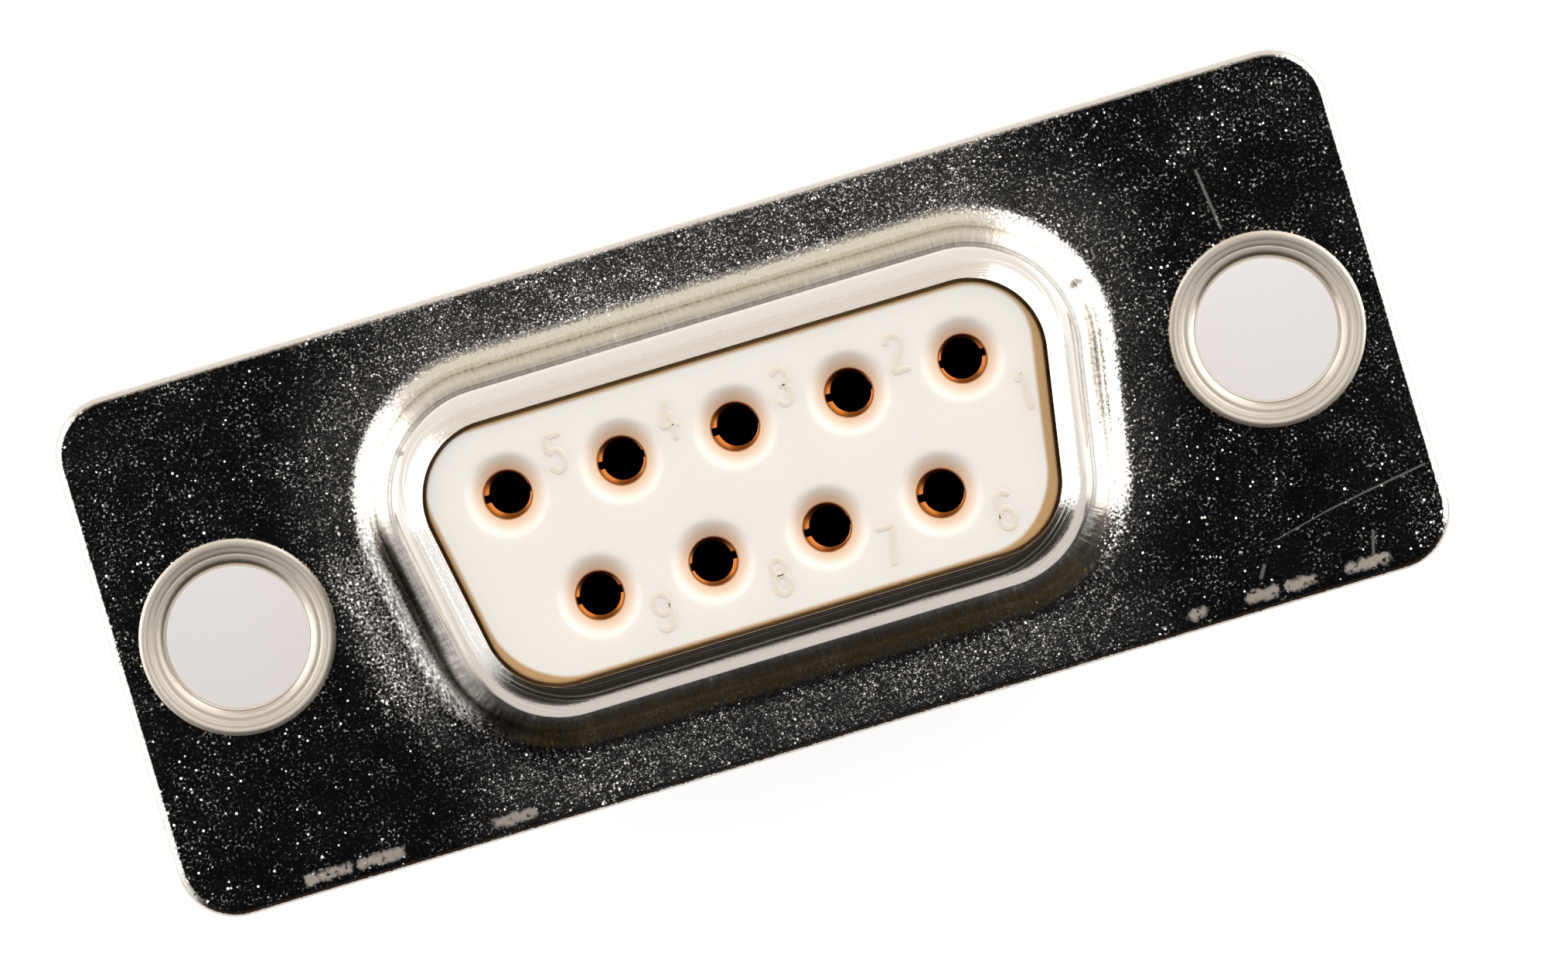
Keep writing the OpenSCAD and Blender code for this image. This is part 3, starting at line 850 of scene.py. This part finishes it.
normal = add("NewGeometry").node.outputs["Normal"]
tilted = add("VectorMath ADD", normal, specks, fine, dent, lines)
feed(shader, Normal=add("VectorMath NORMALIZE", tilted))
print("crystals are", round(1 / CELLS_PER_MM, 3), "mm wide, nodes so far:", len(tree.nodes))

# %% [markdown]
# Handling has left marks on the front: hair scratches and a nick near the right end, and scuffed
# patches along the near edge. Each is drawn as a soft band about a straight line, and so are two
# dark patches at corners of the foot, which are painted dark reflections. At the left end the foot
# and its fillet are painted darker, a painted shade. The near bend is painted olive, a painted
# reflection, and is rougher. The far bend is painted yellowish in fine stripes, a painted
# reflection.

# %% Marks and worn places
EDGE_Y, SCUFF_WIDE = -5.88, 0.17
HAIR = [((12.6, -4.45), (13.6, -4.28), 0.03), ((13.6, -4.28), (15.1, -4.05), 0.035),
        ((11.3, -4.75), (12.6, -4.45), 0.022), ((11.95, 4.0), (12.12, 2.6), 0.05),
        ((13.35, -5.75), (13.5, -5.2), 0.05), ((10.7, -5.5), (10.85, -5.25), 0.06)]
SCUFFS = [(-12.5, -11.6), (-11.2, -10.3), (-7.9, -7.1), (8.95, 9.15), (10.35, 10.9),
          (11.3, 11.8), (12.75, 13.6)]
# Two dark patches at corners of the foot, drawn as marks: painted dark reflections.
CORNER_PAINTED_REFLECTIONS = [((8.35, 2.2), (8.65, 2.35), 0.14), ((-7.9, 3.25), (-7.6, 3.05), 0.13)]


def mark(place, start, end, half_width):
    """1 on a straight mark between two points on the flange: a soft step of the distance to it.

    The nearest place on the line is its start plus the share of its length that the dot product
    gives, held between 0 and 1.
    """
    along = np.subtract(end, start)
    per_length = (*(along / (along @ along)).tolist(), 0.0)
    from_start = add("VectorMath MULTIPLY", place, (1.0, 1.0, 0.0))
    from_start = add("VectorMath SUBTRACT", from_start, (*start, 0.0))
    share = add("Clamp", add("VectorMath DOT_PRODUCT", from_start, per_length), 0.0, 1.0)
    nearest = add("VectorMath SCALE", (*along.tolist(), 0.0), share)
    away = add("VectorMath LENGTH", add("VectorMath SUBTRACT", from_start, nearest))
    return region((away, half_width, half_width * 0.3))


ragged = add("VectorMath ADD", place, add("VectorMath SCALE", grains(place, 5.0, 3.0), 0.14))
hair = add("Math MAXIMUM", *[mark(place, *line) for line in HAIR])
scuffs = add("Math MAXIMUM", *[mark(ragged, (first, EDGE_Y), (last, EDGE_Y), SCUFF_WIDE)
                               for first, last in SCUFFS])
broken = region((add("TexNoise", place, Scale=6.0, Detail=3.0), 0.3, 0.45))
worn = add("Math MAXIMUM", add("Math MULTIPLY", hair, 0.24),
           add("Math MULTIPLY", scuffs, broken, 0.8))
worn = region(worn, front)
# Painted dark reflections at two corners of the foot.
corner_painted_reflections = add("Math MAXIMUM", *[mark(ragged, *line) for line in CORNER_PAINTED_REFLECTIONS])
corner_painted_reflections = add("Math MULTIPLY", corner_painted_reflections, front, 0.8)

ribs = add("TexNoise", add("VectorMath MULTIPLY", place, (1.0, 0.3, 0.3)), Scale=14.0, Detail=2.0)
far_ribs = add("Math MULTIPLY_ADD", region((ribs, 0.35, 0.6)), 0.7, 0.3)
# The far bend is painted yellowish in fine stripes: a painted reflection.
far_bend_painted_reflection = region((z, 0.01, 0.05), (z, 0.6, 0.4), (off_centre, 7.6, 6.0), (y, 2.0, 4.0), far_ribs)
ribbed = region((ribs, 0.4, 0.6))
# Painted shade on the left foot, darkening what it mirrors there.
left_foot_painted_shade = region(left_end, front, (y, 2.2, 0.6), (u, 3.45, 3.15), (z, 1.6, 1.0))
# Painted shade on the left fillet, which dims a bright reflection there.
left_fillet_painted_shade = region(left_end, front, (y, 2.0, 0.8), (u, 3.15, 3.4), (u, 4.4, 3.7),
              add("Math MULTIPLY_ADD", ribbed, 0.6, 0.4))
# The near bend is painted olive, a painted reflection, and it is made rougher.
near_bend_rough_painted_olive = region((y, -3.9, -4.2), (z, 0.02, 0.1), (z, 0.75, 0.5),
              add("Math MULTIPLY_ADD", ribbed, 0.7, 0.3))
print(len(HAIR), "scratches,", len(SCUFFS), "rubbed patches and", len(CORNER_PAINTED_REFLECTIONS), "corner_painted_reflections")

# %% [markdown]
# What is left is how sharp the tin mirrors and what colour it gives back. It is never quite even,
# some grains are dull, and the roll of the rim has thin dull lines along it where the die let go.
# Where the tin is worn through, the steel has gone dull and no longer works as a metal mirror.

# %% Dullness and colour of the tin
clouds = add("TexNoise", place, Scale=0.7, Detail=4.0)
rolled = region((z, RIM_Z - 4.5, RIM_Z - 1.0))
lines_round = add("TexNoise", add("Math MULTIPLY_ADD", u, 20.0, clouds), Scale=1.0, Detail=3.0,
                  noise_dimensions="1D")
let_go = region((lines_round, 0.5, 0.62), (z, RIM_Z - 0.9, RIM_Z - 0.4))
dull = add("TexNoise", place, Scale=13.0, Detail=2.0, Roughness=0.6)
crowd = region((add("TexNoise", place, Scale=1.6, Detail=4.0), 0.4, 0.7))
dull = region((dull, 0.52, 0.73), flat, add("Math MULTIPLY_ADD", crowd, 0.34, 0.1))
pulled = add("Math MAXIMUM", stretched, strips)
roughness = 0.06
for share, rise in ((clouds, 0.06), (rolled, 0.07), (let_go, 0.22), (dull, 1.0), (pulled, 0.07),
                    (near_bend_rough_painted_olive, 0.25)):
    roughness = add("Math MULTIPLY_ADD", share, rise, roughness)
# The tin's colour carries painted light: a yellowish painted reflection on the far bend, painted
# shade at the left foot and fillet, a painted olive reflection in the near bend and painted dark
# reflections at two corners. The worn marks are real wear.
tin = layered("#e6e1da", (far_bend_painted_reflection, "#dfdcca"), (left_foot_painted_shade, "#5c5955"), (left_fillet_painted_shade, "#716d6a"),
              (near_bend_rough_painted_olive, "#9a8a55"), (corner_painted_reflections, "#4a4541"), (worn, "#c9bcab"))
feed(shader, Base_Color=tin, Roughness=roughness,
     Metallic=add("Math MULTIPLY_ADD", worn, -0.8, 1.0))
dress(material, front_skin, rear_skin)

# %% [markdown]
# ### Cream polyester
#
# The mouldings are polyester filled with a little glass, moulded in steel and left as they come
# out. The filler takes the gloss off, and light enters a short way, which softens the edges of the
# dishes. The dishes are painted warmer and darker than the face, a painted shade, and the holes
# below them are painted deep amber, a painted glow of the light that comes through the cream. The
# edge of the nose is painted brown, a painted shade, most at the right end.

# %% Cream polyester, moulded
POLYESTER_IOR = 1.55
material, tree, shader = finish("cream_polyester_moulded")
place, x, y, z = millimetres()
clouds = add("TexNoise", place, Scale=0.8, Detail=3.0)
# Painted shade in the dishes, warmer and darker than the face.
dish_painted_shade = region((z, FACE_Z - 0.005, FACE_Z - 0.3), (z, 0.0, SOCKET_Z))
# A painted amber glow deep in the holes, for light that comes through the cream.
hole_painted_glow = region((z, FACE_Z - 0.4, FACE_Z - 0.5), (z, 2.0, SOCKET_Z))
# The nose's edge is painted brown, a painted shade, wider at the right end.
painted_shade_wider_at_right = add("Math MULTIPLY", region((x, 5.5, 7.0)), 0.14)
nose_edge_painted_shade = region((add("Math ADD", outside_core(x, y), painted_shade_wider_at_right), NOSE_U - 0.14, NOSE_U - 0.02),
              (z, SOCKET_Z, FACE_Z - 0.4))
cream = layered("#f7f0e8", (clouds, "#f4ece2"), (dish_painted_shade, "#e6bf9c"), (hole_painted_glow, "#c9712c"),
                (nose_edge_painted_shade, "#c49c6a"))
mould_grain = add("Bump", Strength=0.5, Distance=0.004 * MM,
                  Height=add("TexNoise", place, Scale=14.0, Detail=2.0))
feed(shader, Base_Color=cream, Roughness=0.42, IOR=POLYESTER_IOR, Normal=mould_grain,
     Subsurface_Weight=0.3, Subsurface_Radius=(1.0, 0.55, 0.3), Subsurface_Scale=0.8 * MM)
dress(material, front_body, rear_body)

# %% Cream polyester, the numbers
material, tree, shader = finish("cream_polyester_numbers_painted_shade")
# The numbers are the same plastic as the face, painted a little darker: a painted shade.
feed(shader, Base_Color=colour("#eadfce"), Roughness=0.5, IOR=POLYESTER_IOR)
dress(material, numbers)

# %% [markdown]
# ### Gold flash
#
# The contacts are turned from a copper alloy and plated with a very thin coat of gold, over nickel.
# Down in the bore the plating is thinner and the alloy has darkened, so the gold shows as a bright
# edge at the mouth and goes brown below.

# %% Gold flash over copper alloy
material, tree, shader = finish("gold_flash")
place, x, y, z = millimetres()
bore = add("Attribute", attribute_name="bore").node.outputs["Fac"]
deep = region((z, SOCKET_Z - 0.1, SOCKET_Z - 1.5), bore)
feed(shader, Base_Color=layered("#e0a850", (bore, "#b9692f"), (deep, "#7c3818")),
     Metallic=add("Math MULTIPLY_ADD", deep, -0.7, 1.0),
     Roughness=add("Math MULTIPLY_ADD", deep, 0.3, 0.22))
dress(material, *contacts)

# %% [markdown]
# ### Satin nickel
#
# The eyelets are drawn brass tube with dull nickel plate. The rolling tool rubs the throat bright
# and leaves the head satin, with faint turning lines.

# %% Satin nickel on the eyelets
material, tree, shader = finish("satin_nickel")
place, x, y, z = millimetres()
from_hole = add("Math SUBTRACT", add("Math ABSOLUTE", x), float(HOLE_X))
r = add("Math SQRT", add("Math ADD", add("Math MULTIPLY", from_hole, from_hole),
                         add("Math MULTIPLY", y, y)))
head = region((r, BORE + 0.04, BORE + THROAT - 0.06))
rings = add("TexNoise", add("Math MULTIPLY", r, 16.0), Scale=1.0, Detail=3.0,
            noise_dimensions="1D")
normal = add("NewGeometry").node.outputs["Normal"]
satin = add("VectorMath SCALE", grains(place, 8.0, 3.0), add("Math MULTIPLY", head, 0.06))
feed(shader, Base_Color=layered("#cdc3b6", (region((rings, 0.35, 0.65)), "#e9e0d4")),
     Metallic=1.0, Roughness=add("Math MULTIPLY_ADD", head, 0.3, 0.24),
     Normal=add("VectorMath NORMALIZE", add("VectorMath ADD", normal, satin)))
dress(material, *eyelets)

# %% [markdown]
# ## Camera, floor and light
#
# The camera stands almost straight above the mating face, far off with a long lens, so the view is
# nearly without perspective. It is turned a little, so that the flange rises to the right.

# %% Camera
SCENE = bpy.context.scene
SENSOR, VIEW_WIDTH, DISTANCE = 36.0, 36.44, 900.0
ROLL, TILT = np.radians(16.66), np.radians(0.6)
SHIFT_RIGHT, SHIFT_UP = 0.736, 0.07
right = np.array([np.cos(ROLL), -np.sin(ROLL), 0.0])
back = np.array([0.0, np.sin(TILT), np.cos(TILT)])
right -= back * (right @ back)
right /= np.linalg.norm(right)
up = np.cross(back, right)
target = SHIFT_RIGHT * right + SHIFT_UP * up
camera_data = bpy.data.cameras.new("camera")
camera_data.sensor_width = SENSOR
camera_data.lens = SENSOR * DISTANCE / VIEW_WIDTH
camera_data.clip_start, camera_data.clip_end = 0.01, 10.0
camera = bpy.data.objects.new("camera", camera_data)
SCENE.collection.objects.link(camera)
turn = Matrix(np.stack([right, up, back], axis=1).tolist()).to_4x4()
turn.translation = Vector((target + back * DISTANCE) * MM)
camera.matrix_world = turn
SCENE.camera = camera
print("camera", DISTANCE, "mm off, with a lens of", round(camera_data.lens), "mm")

# %% [markdown]
# The connector stands on its solder cups on a white table. To the camera and in mirrors the table
# glows a little, so that it is as white as the background and still takes a shadow. A painted
# shadow darkens it below the object, and in mirrors it is painted darker towards the far and the
# near side, a painted shade of its reflection. For soft light it is plain and pale.

# %% Floor
REACH, NEAR = 0.6, 0.09
low = cad_bounds[0][2]
floor_mesh = bpy.data.meshes.new("floor")
floor_mesh.from_pydata([(-REACH, -NEAR, low), (REACH, -NEAR, low), (REACH, REACH, low),
                        (-REACH, REACH, low)], [], [(0, 1, 2, 3)])
floor = bpy.data.objects.new("floor", floor_mesh)
SCENE.collection.objects.link(floor)
material, tree, shader = finish("white_table")
rays = add("LightPath").node.outputs
seen = add("Math MAXIMUM", rays["Is Camera Ray"], rays["Is Glossy Ray"],
           rays["Is Transmission Ray"])
indirect = add("Math SUBTRACT", 1.0, rays["Is Camera Ray"])
place, x, y, z = millimetres()
# A painted shadow on the table below the object.
under = region((add("Math ABSOLUTE", x), FLANGE_X, FLANGE_X - 1.0),
               (add("Math ABSOLUTE", y), FLANGE_Y, FLANGE_Y - 3.0))
# In mirrors the table is also painted darker towards the far and the near side: a painted shade.
table = layered("#ffffff", (under, "#b0a7a5"), (region((y, 7.0, 20.0), indirect), "#d8cfc8"),
                (region((y, -5.0, -12.0), indirect), "#a1958d"))
shown = add("AddShader", add("Emission", table, 0.61), add("BsdfDiffuse", (0.6, 0.6, 0.6, 1)))
plain = add("BsdfDiffuse", (0.8, 0.8, 0.8, 1))
feed(tree.nodes["Material Output"], Surface=add("MixShader", seen, plain, shown))
dress(material, floor)

# %% [markdown]
# Bright tin shows what it mirrors, so the studio is drawn on the world all round the object. A
# place in it is a compass direction, in degrees anticlockwise from +x, and a height above the
# horizon.

# %% Directions in the studio
DEGREES = 180 / np.pi
world = bpy.data.worlds.new("studio")
SCENE.world = world
world.use_nodes = True
tree = world.node_tree
X, Y, Z = add("SeparateXYZ", add("TexCoord")).node.outputs
azimuth = add("Math MULTIPLY", add("Math ARCTAN2", Y, X), DEGREES)
around = add("Math MODULO", add("Math ADD", azimuth, 360.0), 360.0)
height = add("Math MULTIPLY", add("Math ARCSINE", Z), DEGREES)
print("the camera looks from", round(90 - float(np.degrees(TILT)), 1), "degrees up")

# %% [markdown]
# A soft white box stands at each end, brightest low down, and the left one fades out towards the
# near side. A cream sky hangs over the far side. Overhead and on the near side it is dark, which is
# what turns the flange black, and a pale band runs along the horizon. The camera itself sees white.

# %% Lights of the studio
left_box = add("Math MAXIMUM", region((around, 188, 183)),
               add("Math MULTIPLY", region((around, 222, 200)), 0.36))
left_box = region((around, 122, 134), left_box)
right_box = region((azimuth, -34, -26), (azimuth, 62, 50))
boxes = region(add("Math ADD", left_box, right_box), (height, 79, 62))
boxes = add("Math MULTIPLY", boxes, add("Math MULTIPLY_ADD", region((height, 55, 30)), 0.7, 1.92))
sky_height = add("Math MULTIPLY_ADD", region((height, 80, 66)), 0.3,
                 add("Math MULTIPLY", region((height, 58, 42)), 0.7))
sky = region((azimuth, 46, 62), (azimuth, 138, 124), sky_height)
near_side = region((around, 183, 190), (around, 335, 322))
shade = region(near_side, (height, 60, 30))
horizon = region((height, 16, 10), add("Math SUBTRACT", 1.0, near_side, sky))
light = (0.0025, 0.003, 0.0042)
for tint, share in (((1.0, 1.0, 1.0), boxes), ((0.9, 0.85, 0.79), sky),
                    ((0.024, 0.018, 0.012), shade), ((0.85, 0.83, 0.8), horizon)):
    light = add("VectorMath ADD", light, add("VectorMath SCALE", tint, share))
seen = add("LightPath").node.outputs["Is Camera Ray"]
mixed = add("MixShader", seen, add("Background", light, 1.0),
            add("Background", (1, 1, 1, 1), 1.0))
feed(tree.nodes["World Output"], Surface=mixed)
SCENE.view_settings.view_transform = "Standard"
print("nodes of the studio:", len(tree.nodes))
